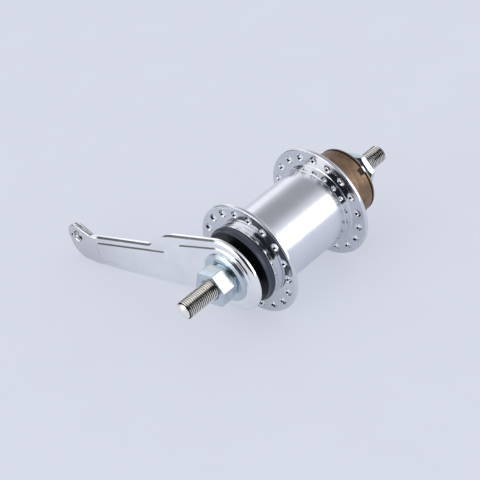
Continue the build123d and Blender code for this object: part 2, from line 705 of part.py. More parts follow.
def driver():
    """Driver: coarse screw, two ball races, sprocket shoulder, notched seat and snap ring groove."""
    groove_r = SPROCKET_SEAT_R - SNAP_GROOVE_DEPTH
    dish = DRIVER_END - DISH_DEPTH
    relief_r = SCREW_R - SCREW_RELIEF
    small_cup_bore_r = SMALL_PITCH_R - SMALL_CUP_INSET
    cup_floor = race(CONE_BALLS_AT, SMALL_PITCH_R, SMALL_BALL_R, 1, -1, small_cup_bore_r)
    body = turned(
        (DRIVER_BORE_R, SCREW_START),
        (SCREW_R, SCREW_START),
        (SCREW_R, SCREW_END),
        (relief_r, SCREW_END),
        race(DRIVER_BALLS_AT, PITCH_R, BALL_R, -1, 1, relief_r),
        race(DRIVER_BALLS_AT, PITCH_R, BALL_R, -1, 1, RACE_SHOULDER_R),
        (RACE_SHOULDER_R, DRIVER_FACE),
        (SHOULDER_R, DRIVER_FACE),
        (SHOULDER_R, SHOULDER_END),
        (SPROCKET_SEAT_R, SHOULDER_END),
        (SPROCKET_SEAT_R, SEAT_END),
        (groove_r, SEAT_END),
        (groove_r, SNAP_GROOVE_END),
        (SPROCKET_SEAT_R, SNAP_GROOVE_END),
        (SPROCKET_SEAT_R, DRIVER_END - RIM_EDGE),
        (SPROCKET_SEAT_R - RIM_EDGE, DRIVER_END),
        (SPROCKET_SEAT_R - DISH_WALL, DRIVER_END),
        (SPROCKET_SEAT_R - DISH_WALL, dish),
        (SMALL_CUP_R + DISH_HUB_WALL, dish),
        (SMALL_CUP_R + DISH_HUB_WALL, DRIVER_END),
        (SMALL_CUP_R, DRIVER_END),
        race(CONE_BALLS_AT, SMALL_PITCH_R, SMALL_BALL_R, 1, -1, SMALL_CUP_R),
        cup_floor,
        (DRIVER_BORE_R, cup_floor[1]),
    )
    length = DRIVER_END - SHOULDER_END
    notch = Box(2 * NOTCH_DEPTH, length, NOTCH_WIDTH)
    middle = SHOULDER_END + length / 2
    for index in range(NOTCHES):
        turn = NOTCH_TURN + index * 360 / NOTCHES
        body -= Rot(0, turn, 0) * Pos(-SPROCKET_SEAT_R, middle, 0) * notch
    return body


def drive_side_cone():
    """Right cone on the axle, its race facing the hub, with two flats for a thin wrench."""
    neck = race(CONE_BALLS_AT, SMALL_PITCH_R, SMALL_BALL_R, -1, 1, SMALL_PITCH_R - SMALL_CONE_NECK)
    body = turned(
        (BORE_R, neck[1]),
        neck,
        race(CONE_BALLS_AT, SMALL_PITCH_R, SMALL_BALL_R, -1, 1, DRIVE_CONE_R),
        (DRIVE_CONE_R, DRIVE_CONE_END),
        (BORE_R, DRIVE_CONE_END),
    )
    flats = Rectangle(4 * DRIVE_CONE_R, 2 * (DRIVE_CONE_R - WRENCH_FLAT_DEPTH))
    full = Circle(2 * DRIVE_CONE_R) - flats
    return body - prism(full, DRIVE_CONE_END - WRENCH_LENGTH, DRIVE_CONE_END)


def driver_dust_cap():
    """Thin ring pressed into the driver's mouth round the drive-side cone."""
    start = DRIVER_END - DRIVER_CAP_INSET
    return tube(SMALL_CUP_R, DRIVE_CONE_R + DRIVER_CAP_GAP, start, start + DRIVER_CAP_THICK)


def drive_side_spacer():
    """Plain ring that sets the width over the locknuts."""
    return tube(BORE_R + SPACER_WALL, BORE_R, DRIVE_CONE_END, DRIVE_NUT_START)


def save(name, shape):
    export_step(shape, f"parts/{name}.step")


save("axle", axle())
save("brake_side_locknut", locknut(0, BRAKE_NUT_THICK, BRAKE_NUT_TURN, True))
save("arm_washer", arm_washer())
save("brake_arm", brake_arm())
save("brake_side_dust_cap", brake_side_dust_cap())
save("brake_cone", brake_cone())
save("drive_side_cone", drive_side_cone())
save("drive_side_spacer", drive_side_spacer())
save("drive_side_locknut", locknut(DRIVE_NUT_START, DRIVE_NUT_THICK, DRIVE_NUT_TURN, False))

save("shell_barrel", shell_barrel())
save("brake_side_flange", flange(BRAKE_FLANGE_AT, 1, SPOKE_TURN))
half_pitch = 180 / SPOKES_EACH_SIDE
save("drive_side_flange", flange(DRIVE_FLANGE_AT, -1, SPOKE_TURN + half_pitch))
save("brake_side_cup", ball_cup(BRAKE_BALLS_AT, 1, SHELL_START + CUP_MOUTH_INSET))
save("drive_side_cup", ball_cup(DRIVER_BALLS_AT, -1, SHELL_END - CUP_MOUTH_INSET))

save("driver", driver())
save("driver_dust_cap", driver_dust_cap())

save("clutch_cone", clutch_cone())
save("retarder_spring", retarder_spring())

save("front_brake_shoe", brake_shoe(1))
save("rear_brake_shoe", brake_shoe(-1))

balls = ball_count(PITCH_R, BALL_R, CAGE_HALF_WIDTH)
save("brake_side_balls", ball_ring(BRAKE_BALLS_AT, PITCH_R, BALL_R, balls))
save("brake_side_ball_cage", ball_cage(BRAKE_BALLS_AT, PITCH_R, BALL_R, balls, -1, CAGE_HALF_WIDTH))
save("driver_balls", ball_ring(DRIVER_BALLS_AT, PITCH_R, BALL_R, balls))
save("driver_ball_cage", ball_cage(DRIVER_BALLS_AT, PITCH_R, BALL_R, balls, 1, CAGE_HALF_WIDTH))
small_balls = ball_count(SMALL_PITCH_R, SMALL_BALL_R, SMALL_CAGE_HALF_WIDTH)
save("cone_balls", ball_ring(CONE_BALLS_AT, SMALL_PITCH_R, SMALL_BALL_R, small_balls))
small_width = SMALL_CAGE_HALF_WIDTH
save("cone_ball_cage", ball_cage(CONE_BALLS_AT, SMALL_PITCH_R, SMALL_BALL_R, small_balls, 1, small_width))
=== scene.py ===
"""Finished look of a coaster brake hub: plated shell, brake arm, threaded axle and brown driver."""

import json
import math

import bmesh
import bpy
import numpy as np
from bpy.props import FloatProperty, FloatVectorProperty, IntProperty, PointerProperty
from mathutils import Matrix, Vector


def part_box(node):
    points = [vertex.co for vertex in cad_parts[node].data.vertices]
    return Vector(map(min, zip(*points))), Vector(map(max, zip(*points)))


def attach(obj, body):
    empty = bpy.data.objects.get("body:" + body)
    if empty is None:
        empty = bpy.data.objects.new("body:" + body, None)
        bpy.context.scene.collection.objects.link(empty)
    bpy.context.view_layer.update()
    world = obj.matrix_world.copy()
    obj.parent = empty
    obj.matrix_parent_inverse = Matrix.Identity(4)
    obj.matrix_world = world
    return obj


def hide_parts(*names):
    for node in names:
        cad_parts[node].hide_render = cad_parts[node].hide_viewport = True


bl_info = {
    "name": "Coaster Brake Hub",
    "version": (1, 0, 0),
    "blender": (4, 5, 0),
    "location": "View3D > Sidebar > Hub",
    "description": "Builds the turned, pressed and plated pieces of a coaster brake hub",
    "category": "Add Mesh",
}

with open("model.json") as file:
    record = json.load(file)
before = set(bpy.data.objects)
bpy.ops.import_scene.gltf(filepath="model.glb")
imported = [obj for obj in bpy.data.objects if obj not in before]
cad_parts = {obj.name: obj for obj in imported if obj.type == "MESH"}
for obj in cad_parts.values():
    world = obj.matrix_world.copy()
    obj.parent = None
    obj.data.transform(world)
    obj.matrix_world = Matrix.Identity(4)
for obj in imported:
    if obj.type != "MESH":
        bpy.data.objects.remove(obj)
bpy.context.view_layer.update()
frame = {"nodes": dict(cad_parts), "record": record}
MM = 0.001
TURN = 2 * math.pi


def low(node):
    return np.array(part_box(node)[0])


def high(node):
    return np.array(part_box(node)[1])


def span(node):
    """Where a node starts and ends along the axle."""
    return low(node)[1], high(node)[1]


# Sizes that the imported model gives, in metres
AXLE_START, AXLE_END = span("axle")
THREAD_R = high("axle")[0]
BRAKE_NUT = span("brake_side_locknut")
DRIVE_NUT = span("drive_side_locknut")
WASHER = span("arm_washer")
WASHER_R = high("arm_washer")[0]
CAP = span("brake_side_dust_cap")
CAP_BEAD_R = high("brake_side_dust_cap")[0]
SHELL = span("shell_barrel")
SHELL_R = high("shell_barrel")[0]
FLANGE_R = high("brake_side_flange")[0]
BRAKE_FLANGE = span("brake_side_flange")
DRIVE_FLANGE = span("drive_side_flange")
DRIVER_R = high("driver")[0]
FLOOR_Z = float(low("brake_side_flange")[2])
ARM_END = high("brake_arm")[1]
BOSS_R = high("brake_arm")[0]

# The arm's plan, in millimetres: U runs along the arm from the axle, and V across it, upwards
STRAP_V = -1.0
SEAT_R = 8.55
SEAT_FLAT = 7.05
SEAT_TURN = 50
EARS_FROM = 97.0
EARS_BLEND = 6.0
HEEL_U = 103.8
EAR_U = 103.3
ROLL_DROP = 1.8
EAR_ROLL = 0.8
EAR_ROLL_DROP = 0.55


class HubSizes(bpy.types.PropertyGroup):
    thread_pitch: FloatProperty(
        name="Thread pitch", description="Distance between two crests of the axle thread",
        default=1.09 * MM, unit="LENGTH",
    )
    thread_depth: FloatProperty(
        name="Thread depth", description="Height of the axle thread from root to crest",
        default=0.52 * MM, unit="LENGTH",
    )
    across_flats: FloatProperty(
        name="Across flats", description="Width of both locknuts over two opposite sides",
        default=17.0 * MM, unit="LENGTH",
    )
    tip_dome: FloatProperty(
        name="Tip dome", description="Height of the rounded ends of the axle",
        default=1.5 * MM, unit="LENGTH",
    )
    arm_length: FloatProperty(
        name="Arm length", description="Distance from the axle to the strap hole, along the arm",
        default=113.9 * MM, unit="LENGTH",
    )
    arm_droop: FloatProperty(
        name="Arm droop", description="Angle by which the brake arm hangs below level",
        default=math.radians(7.28), subtype="ANGLE",
    )
    arm_plate: FloatProperty(
        name="Arm plate", description="Thickness of the brake arm's sheet", default=1.6 * MM, unit="LENGTH",
    )
    arm_lip: FloatProperty(
        name="Arm lip", description="Depth of the arm's turned-back lip behind its border",
        default=2.8 * MM, unit="LENGTH",
    )
    washer_thick: FloatProperty(
        name="Washer thickness", description="Thickness of the bright washer that clamps the arm",
        default=2.6 * MM, unit="LENGTH",
    )
    panel_rise: FloatProperty(
        name="Panel rise", description="Height of the arm's raised panel over its border",
        default=0.7 * MM, unit="LENGTH",
    )
    border_roll: FloatProperty(
        name="Border roll", description="Width over which the arm's border rolls back to its lip",
        default=3.2 * MM, unit="LENGTH",
    )
    strap_hole: FloatProperty(
        name="Strap hole", description="Radius of the hole through the arm's two ears",
        default=3.0 * MM, unit="LENGTH",
    )
    spoke_circle: FloatProperty(
        name="Spoke circle", description="Radius of the circle through the spoke holes",
        default=25.25 * MM, unit="LENGTH",
    )
    spoke_hole: FloatProperty(
        name="Spoke hole", description="Radius of a spoke hole",
        default=1.3 * MM, unit="LENGTH",
    )
    spoke_sink: FloatProperty(
        name="Spoke countersink", description="Radius of a spoke hole's countersink at the flange's face",
        default=2.15 * MM, unit="LENGTH",
    )
    spokes: IntProperty(
        name="Spokes each side", description="Number of spoke holes in one flange", default=18, min=8,
    )
    spoke_turn: FloatProperty(
        name="Spoke turn", description="Angle of the first spoke hole of the brake-side flange",
        default=math.radians(5.78), subtype="ANGLE",
    )


class HubColours(bpy.types.PropertyGroup):
    chrome: FloatVectorProperty(
        name="Chrome", description="Polished chrome plate", subtype="COLOR", default=(0.78, 0.79, 0.82),
    )
    satin: FloatVectorProperty(
        name="Satin plate", description="Satin plate of the barrel", subtype="COLOR", default=(0.80, 0.81, 0.85),
    )
    arm: FloatVectorProperty(
        name="Arm plate", description="Pale plate of the brake arm", subtype="COLOR", default=(0.97, 0.97, 0.98),
    )
    zinc: FloatVectorProperty(
        name="Zinc", description="Bluish bright zinc of nuts and washer", subtype="COLOR", default=(0.62, 0.70, 0.75),
    )
    thread: FloatVectorProperty(
        name="Axle steel", description="Grey steel of the rolled thread", subtype="COLOR", default=(0.50, 0.48, 0.45),
    )
    driver: FloatVectorProperty(
        name="Driver brown", description="Brown oiled finish of the driver", subtype="COLOR",
        default=(0.21, 0.135, 0.085),
    )
    cap: FloatVectorProperty(
        name="Cap black", description="Black of the dust caps", subtype="COLOR", default=(0.003, 0.004, 0.005),
    )
    # Painted sheen: the slate colour of the dust cap's outer band stands in for a reflection.
    cap_painted_sheen: FloatVectorProperty(
        name="Cap band", description="Slate shine of the dust cap's outer band", subtype="COLOR",
        default=(0.045, 0.055, 0.080),
    )
    backdrop: FloatVectorProperty(
        name="Backdrop", description="Pale blue-grey of the floor and backdrop", subtype="COLOR",
        default=(0.716, 0.745, 0.84),
    )


def sizes():
    return bpy.context.scene.hub_sizes


def colours():
    return bpy.context.scene.hub_colours


# Surfaces


def quads(rows, columns, wrap_rows, wrap_columns, offset=0):
    """Faces of a grid of points: each joins point (i, j) to its next neighbours along i and along j."""
    last_row = rows if wrap_rows else rows - 1
    last_column = columns if wrap_columns else columns - 1
    i, j = np.meshgrid(np.arange(last_row), np.arange(last_column), indexing="ij")
    i2 = (i + 1) % rows
    j2 = (j + 1) % columns
    corners = (i * columns + j, i2 * columns + j, i2 * columns + j2, i * columns + j2)
    return np.stack(corners, axis=-1).reshape(-1, 4) + offset


def mesh_from(name, points, faces, sharp_angle=35.0):
    """Puts points and quads into a mesh with bulk calls, merges doubles and turns its faces outwards."""
    mesh = bpy.data.meshes.new(name)
    mesh.vertices.add(len(points))
    mesh.vertices.foreach_set("co", np.asarray(points, np.float32).ravel())
    faces = np.asarray(faces, np.int32)
    mesh.loops.add(faces.size)
    mesh.loops.foreach_set("vertex_index", faces.ravel())
    mesh.polygons.add(len(faces))
    mesh.polygons.foreach_set("loop_start", np.arange(0, faces.size, 4, dtype=np.int32))
    mesh.update(calc_edges=True)
    mesh.validate()
    piece = bpy.data.objects.new(name, mesh)
    bpy.context.scene.collection.objects.link(piece)
    clean(piece)
    mesh.shade_smooth()
    mesh.set_sharp_from_angle(angle=math.radians(sharp_angle))
    return piece


def clean(piece):
    """Merges doubled points, drops faces without area and recalculates the outward side."""
    work = bmesh.new()
    work.from_mesh(piece.data)
    bmesh.ops.remove_doubles(work, verts=work.verts, dist=1e-7)
    bmesh.ops.dissolve_degenerate(work, edges=work.edges, dist=1e-8)
    bmesh.ops.recalc_face_normals(work, faces=work.faces)
    work.to_mesh(piece.data)
    work.free()


def rounded(outline, radius, steps=5):
    """Closed outline whose corners become arcs. An arc starts at distance radius times tan of half the turn."""
    outline = np.asarray(outline, float)
    count = len(outline)
    before = np.roll(outline, 1, axis=0)
    after = np.roll(outline, -1, axis=0)
    radius = np.broadcast_to(np.asarray(radius, float), (count,))
    into = outline - before
    out = after - outline
    length_in = np.linalg.norm(into, axis=1)
    length_out = np.linalg.norm(out, axis=1)
    into = into / length_in[:, None]
    out = out / length_out[:, None]
    turn = np.arccos(np.clip((into * out).sum(axis=1), -1, 1))
    cut = np.minimum(radius * np.tan(turn / 2), 0.45 * np.minimum(length_in, length_out))
    start = outline - into * cut[:, None]
    end = outline + out * cut[:, None]
    share = np.linspace(0, 1, steps)[None, :, None]
    # A quadratic curve through the corner is within a hundredth of the radius of the arc
    weight = np.cos(turn / 2)[:, None, None]
    a = (1 - share) ** 2
    b = 2 * share * (1 - share) * weight
    c = share**2
    curve = (a * start[:, None] + b * outline[:, None] + c * end[:, None]) / (a + b + c)
    return curve.reshape(-1, 2)


def split_long(profile, longest):
    """Adds evenly spaced points on every side of a closed profile that is longer than a length."""
    nxt = np.roll(profile, -1, axis=0)
    parts = []
    for here, there in zip(profile, nxt):
        pieces = max(1, int(np.ceil(np.linalg.norm(there - here) / longest)))
        share = np.arange(pieces)[:, None] / pieces
        parts.append(here + (there - here) * share)
    return np.concatenate(parts)


def about_axle(r, y, angle):
    """Points (r cos a, y, r sin a) in one list, row by row."""
    r, y, angle = np.broadcast_arrays(r, y, angle)
    return np.stack((r * np.cos(angle), y, r * np.sin(angle)), axis=-1).reshape(-1, 3)


def turned(name, outline, radius, segments=256):
    """Surface of revolution: each point (r, y) of a rounded closed outline goes to (r cos a, y, r sin a)."""
    profile = split_long(rounded(outline, radius), 3.0 * MM)
    angle = np.arange(segments) * TURN / segments
    points = about_axle(profile[:, :1], profile[:, 1:], angle)
    return mesh_from(name, points, quads(len(profile), segments, True, True))


def hex_radius(angle, across_flats, turn, sharpness=90.0):
    """Radius of a hexagon at an angle: half the width over the cosine to the nearest side, corners eased."""
    side = np.arange(6) * TURN / 6 + turn + TURN / 12
    reach = np.cos(angle[..., None] - side)
    blend = (np.maximum(reach, 0) ** sharpness).sum(axis=-1) ** (1 / sharpness)
    return across_flats / 2 / blend


def hex_nut(name, outer, inner, turn, mouth, chamfer, segments=360):
    """Nut: radius is the lesser of the hexagon's and a chamfer cone's, carried along a profile in y."""
    angle = np.arange(segments) * TURN / segments
    width = sizes().across_flats
    hexagon = hex_radius(angle, width, turn)
    inward = 1 if inner > outer else -1
    thick = abs(inner - outer)
    bore = THREAD_R + 0.02 * MM
    corner = width / math.sqrt(3)
    edge = 0.12 * MM
    depth = np.concatenate((
        np.linspace(0, edge, 5),
        np.linspace(0.3 * MM, thick - chamfer, 12),
        thick - chamfer + chamfer * np.linspace(0.1, 1, 10),
    ))
    rise = edge * (1 - np.sqrt(np.clip(1 - (1 - depth / edge) ** 2, 0, 1)))
    rise = np.where(depth < edge, rise, 0)
    slope = 1.75
    cone = corner - np.maximum(depth - (thick - chamfer), 0) * slope
    side = np.minimum(hexagon[None, :] - rise[:, None], cone[:, None])
    face_r = side[-1]
    rows = [np.full(segments, bore), np.full(segments, bore + mouth), side[0] * 0.5 + (bore + mouth) * 0.5]
    heights = [mouth, 0.0, 0.0]
    rows += list(side)
    heights += list(depth)
    rows += [face_r * 0.5 + bore * 0.5, np.full(segments, bore)]
    heights += [thick, thick]
    points = about_axle(np.stack(rows), outer + inward * np.asarray(heights)[:, None], angle)
    return mesh_from(name, points, quads(len(rows), segments, True, True), 30.0)


def threaded_axle(name):
    """Rod whose radius is major radius less depth times a rounded triangle wave of y less turn times pitch.
    Each end is a dome: it falls back from its middle by the dome's height times the square of the radius."""
    pitch = sizes().thread_pitch
    depth = sizes().thread_depth
    segments = 72
    step = pitch / 10
    crest = 0.08
    flank = 0.80
    chamfer = 0.8 * MM
    dome = sizes().tip_dome
    ring = THREAD_R - chamfer
    first = AXLE_START + dome
    last = AXLE_END - dome
    brake_thread = np.arange(first, BRAKE_NUT[1] + 3 * MM, step)
    plain = np.arange(BRAKE_NUT[1] + 3.5 * MM, DRIVE_NUT[0] - 6 * MM, 6 * MM)
    drive_thread = np.arange(DRIVE_NUT[0] - 5 * MM, last, step)
    y = np.concatenate((brake_thread, plain, drive_thread, [last]))
    angle = np.arange(segments) * TURN / segments
    phase = (y[:, None] / pitch - angle[None, :] / TURN) % 1
    wave = np.abs(2 * phase - 1)
    wave = np.clip((wave - crest) / flank, 0, 1)
    in_brake = np.clip((BRAKE_NUT[1] + 2 * MM - y) / MM, 0, 1)
    in_drive = np.clip((y - DRIVE_NUT[0] + 4 * MM) / MM, 0, 1)
    threaded = np.maximum(in_brake, in_drive)[:, None]
    r = THREAD_R - depth * wave * threaded
    from_end = np.minimum(y - first, last - y)[:, None]
    r = np.minimum(r, ring + from_end)
    rise = np.linspace(0, 1, 12, endpoint=False)
    start_cap = ring * rise
    start_y = AXLE_START + dome * rise**2
    end_cap = start_cap[::-1]
    end_y = AXLE_END - dome * rise[::-1] ** 2
    ones = np.ones(segments)
    r = np.concatenate((start_cap[:, None] * ones, r, end_cap[:, None] * ones))
    y = np.concatenate((start_y, y, end_y))[:, None]
    return mesh_from(name, about_axle(r, y, angle), quads(len(r), segments, False, True), 60.0)


def flange(name, ends, inner_side, turn):
    """Flange in sectors, one for each spoke hole. A face point is a blend from the circle round the hole to the
    sector's edge, a hole's wall is a profile carried round the hole, and the rim and collar are turned."""
    spokes = sizes().spokes
    ring = sizes().spoke_circle
    hole = sizes().spoke_hole
    sink = sizes().spoke_sink
    thick = 2.1 * MM
    outer_face = ends[0] if inner_side > 0 else ends[1]
    inner_face = outer_face + inner_side * thick
    collar_end = ends[1] if inner_side > 0 else ends[0]
    edge = 0.5 * MM
    rim_r = FLANGE_R - edge
    collar_r = SHELL_R + 0.5 * MM
    root = 0.7 * MM
    start_r = collar_r + root
    across = 16
    up = 12
    sector = TURN / spokes
    # The sector's edge as (radius, angle), anticlockwise from its lower inner corner
    s = np.linspace(0, 1, across, endpoint=False)
    t = np.linspace(0, 1, up, endpoint=False)
    edge_r = np.concatenate((
        np.full(across, start_r), start_r + (rim_r - start_r) * t, np.full(across, rim_r),
        rim_r + (start_r - rim_r) * t,
    ))
    edge_a = sector * np.concatenate((s - 0.5, np.full(up, 0.5), 0.5 - s, np.full(up, -0.5)))
    border = np.stack((edge_r * np.cos(edge_a), edge_r * np.sin(edge_a)), axis=-1)
    around = border - np.array([ring, 0])
    way = around / np.linalg.norm(around, axis=1)[:, None]
    sink_edge = 0.15 * MM
    # Hole profile from the outer face to the inner one, as (radius, depth)
    lip = sink - hole
    wall = rounded(
        [(sink + 1.2 * MM, 0), (sink, 0), (hole, lip), (hole, thick - lip), (sink, thick), (sink + 1.2 * MM, thick)],
        [0, sink_edge, sink_edge, sink_edge, sink_edge, 0], 5,
    )
    profile = wall[5:-5]
    wall_points = ring * np.array([1, 0]) + profile[:, 0][:, None, None] * way[None]
    wall_depth = np.broadcast_to(profile[:, 1][:, None], wall_points.shape[:2])
    steps = np.linspace(0, 1, 7)[:, None, None]
    face_out = wall_points[0] * (1 - steps) + border * steps
    face_in = wall_points[-1] * (1 - steps) + border * steps
    flat = np.concatenate((face_out[::-1], wall_points[1:-1], face_in))
    depth = np.concatenate((
        np.zeros(face_out.shape[:2]), wall_depth[1:-1], np.full(face_in.shape[:2], thick),
    ))
    rows, columns = depth.shape
    angles = turn + np.arange(spokes) * sector
    r = np.linalg.norm(flat, axis=-1)
    way_round = np.arctan2(flat[..., 1], flat[..., 0]) + angles[:, None, None]
    points = [about_axle(r, outer_face + inner_side * depth, math.pi - way_round)]
    base = quads(rows, columns, False, True)
    faces = [base + k * rows * columns for k in range(spokes)]
    offset = spokes * rows * columns
    # Rim, collar and root share the sectors' points round the axle
    part = (np.arange(across) / across - 0.5) * sector
    ring_angle = (angles[:, None] + part[None, :]).ravel()
    bend = np.radians(np.linspace(-90, 90, 13))
    half = thick / 2
    rim_height = half + np.sign(bend) * half * np.abs(np.sin(bend)) ** 0.8
    rim_profile = np.stack((rim_r + edge * np.cos(bend), rim_height), axis=-1)
    bore_r = SHELL_R - 0.6 * MM
    length = abs(collar_end - inner_face)
    fillet = np.radians(np.linspace(90, 0, 9))
    root_profile = np.stack((start_r - root * np.cos(fillet), thick + root - root * np.sin(fillet)), axis=-1)
    top = thick + length
    lip_bend = np.radians(np.linspace(0, 90, 7))
    nose = 0.3 * MM
    nose_profile = np.stack(
        (collar_r - nose + nose * np.cos(lip_bend), top - nose + nose * np.sin(lip_bend)), axis=-1
    )
    inside = np.array([[bore_r, top], [bore_r, 0]])
    outer_step = np.array([[start_r, 0]])
    collar_profile = np.concatenate((root_profile, nose_profile, inside, outer_step))
    for line in (rim_profile, collar_profile):
        points.append(about_axle(line[:, :1], outer_face + inner_side * line[:, 1:], math.pi - ring_angle))
        faces.append(quads(len(line), len(ring_angle), False, True, offset))
        offset += len(line) * len(ring_angle)
    return mesh_from(name, np.concatenate(points), np.concatenate(faces), 32.0)


def arc(centre, radius, start, end, steps=24):
    """Points at a radius round a centre, from one angle in degrees to another."""
    angle = np.radians(np.linspace(start, end, steps))
    return np.stack((centre[0] + radius * np.cos(angle), centre[1] + radius * np.sin(angle)), axis=-1)


def boss_edge(radius, shoulder, bottom, foot):
    """Boss circle from the tangent of the shoulder round to its foot, and the hollow arc that joins it to the
    straight bottom. The hollow's centre is a foot radius below the bottom and outside the boss circle."""
    reach = math.hypot(*shoulder)
    start = math.degrees(math.atan2(shoulder[1], shoulder[0]) + math.acos(radius / reach))
    centre = (math.sqrt((radius + foot) ** 2 - (bottom + foot) ** 2), -bottom - foot)
    end = math.degrees(math.atan2(centre[1], centre[0]))
    return np.concatenate((arc((0, 0), radius, start, 360 + end, 90), arc(centre, foot, 180 + end, 90, 16)))


def even(line, count):
    """Points at equal steps along a line of points, the last one left out."""
    walked = np.concatenate(([0], np.cumsum(np.linalg.norm(np.diff(line, axis=0), axis=1))))
    where = np.linspace(0, walked[-1], count, endpoint=False)
    return np.stack((np.interp(where, walked, line[:, 0]), np.interp(where, walked, line[:, 1])), axis=-1)


def cornered(*parts):
    """Closed line of points from pieces of (points, corner radius), with its corners rounded, in millimetres."""
    points = np.concatenate([np.atleast_2d(part[0]) for part in parts])
    radius = np.concatenate([np.full(len(np.atleast_2d(part[0])), float(part[1])) for part in parts])
    line = rounded(points, radius, 12)
    return even(np.concatenate((line, line[:1])), 1600)


def arm_edge():
    """Outline of the arm, anticlockwise: boss, straight bottom, heel, round tip, stepped top edge."""
    length = sizes().arm_length / MM
    bottom = (90.0, -17.2)
    heel = (length - 2.5, -5.2)
    tip = (length + 0.1, -2.0)
    ear_root = (length - 11.2, 0.9)
    waist = (53.0, 6.3)
    shoulder = (39.1, 14.9)
    return cornered(
        (boss_edge(BOSS_R / MM, shoulder, 14.3, 6.0), 0), (bottom, 260), (arc(heel, 10.0, -78, 14), 0),
        (arc(tip, 7.7, -2, 122), 0), (ear_root, 4), (waist, 12), (shoulder, 30),
    )


def panel_edge():
    """Outline of the raised panel, anticlockwise, which keeps off the arm's own edge."""
    end = sizes().arm_length / MM - 13.7
    border = 3.6
    waist = (42.5, 5.0)
    shoulder = (27.5, 12.0)
    return cornered(
        (boss_edge(BOSS_R / MM - border, shoulder, 10.9, 6.0), 0), ((end, -13.0), 4.5), ((end - 0.6, -1.7), 3.0),
        (waist, 7), (shoulder, 10),
    )


def depth_inside(points, loop):
    """Distance of points from a closed line, positive inside: the nearest side's, signed by how many sides a
    level ray crosses."""
    side = np.roll(loop, -1, axis=0) - loop
    square = (side**2).sum(axis=-1)
    found = []
    for chunk in np.array_split(points.reshape(-1, 1, 2), max(1, points.size // 6000)):
        off = chunk - loop
        share = np.clip((off * side).sum(axis=-1) / square, 0, 1)
        near = np.linalg.norm(off - share[..., None] * side, axis=-1).min(axis=1)
        over = off[..., 1] < 0
        next_over = off[..., 1] - side[..., 1] < 0
        rise = np.where(side[..., 1] == 0, 1, side[..., 1])
        ahead = off[..., 0] < side[..., 0] * off[..., 1] / rise
        odd = ((over != next_over) & ahead).sum(axis=1) % 2
        found.append(np.where(odd == 1, near, -near))
    return np.concatenate(found).reshape(points.shape[:-1])


def ease(value):
    """Smooth step from 0 to 1."""
    value = np.clip(value, 0, 1)
    return value * value * (3 - 2 * value)


def strap_centre():
    return np.array((sizes().arm_length / MM, STRAP_V))


def nearest(where, value, wanted):
    """Index of the value nearest to a wanted one, among those where a condition holds."""
    return np.argmin(np.where(where, np.abs(value - wanted), np.inf))


def zones(edge):
    """Outline and inner line of the arm, matched point by point. The inner line goes round the seat hole, out
    along a curved slit, round the strap hole and back along the slit."""
    hole = strap_centre()
    near_boss = 30
    angle = np.degrees(np.arctan2(edge[:, 1], edge[:, 0]))
    near = np.hypot(edge[:, 0], edge[:, 1]) < near_boss
    first = nearest(near, angle, SEAT_TURN)
    edge = np.roll(edge, -first, axis=0)
    angle = np.roll(angle, -first)
    near = np.roll(near, -first)
    low_side = edge[:, 1] < -8
    high_side = (edge[:, 1] > -1) & (edge[:, 0] > 90)
    stops = [
        0, nearest(near, angle, -SEAT_TURN), nearest(low_side, edge[:, 0], HEEL_U),
        nearest(high_side, edge[:, 0], EAR_U), len(edge),
    ]
    edge = np.concatenate((edge, edge[:1]))
    counts = (220, 200, 130, 200)
    outer = np.concatenate([even(edge[stops[k]:stops[k + 1] + 1], counts[k]) for k in range(4)])
    seat = arc((0, 0), SEAT_R, 0, 360, counts[0] + 1)[:-1]
    seat[:, 1] = np.clip(seat[:, 1], -SEAT_FLAT, SEAT_FLAT)
    radius = sizes().strap_hole / MM
    strap = arc(hole, radius, -135, 225, counts[2] + 1)[:-1]
    t = np.linspace(0, 1, 400)[:, None]
    slit = (1 - t) ** 2 * np.array((SEAT_R, 0)) + 2 * t * (1 - t) * np.array((85.0, -9.5)) + t * t * strap[:1]
    out = even(slit, counts[1])
    back = np.concatenate((strap[:1], out[:0:-1]))
    inner = np.concatenate((seat, out, strap, back))
    zone = np.repeat(np.arange(4), counts)
    return outer, inner, zone


def toward_ears(u):
    """0 on the lever and 1 on the ears, by the distance along the arm."""
    return ease((u - EARS_FROM) / EARS_BLEND)


def border_width(u):
    """Width of the rolled border at a distance along the arm."""
    tip = toward_ears(u)
    return sizes().border_roll / MM * (1 - tip) + EAR_ROLL * tip


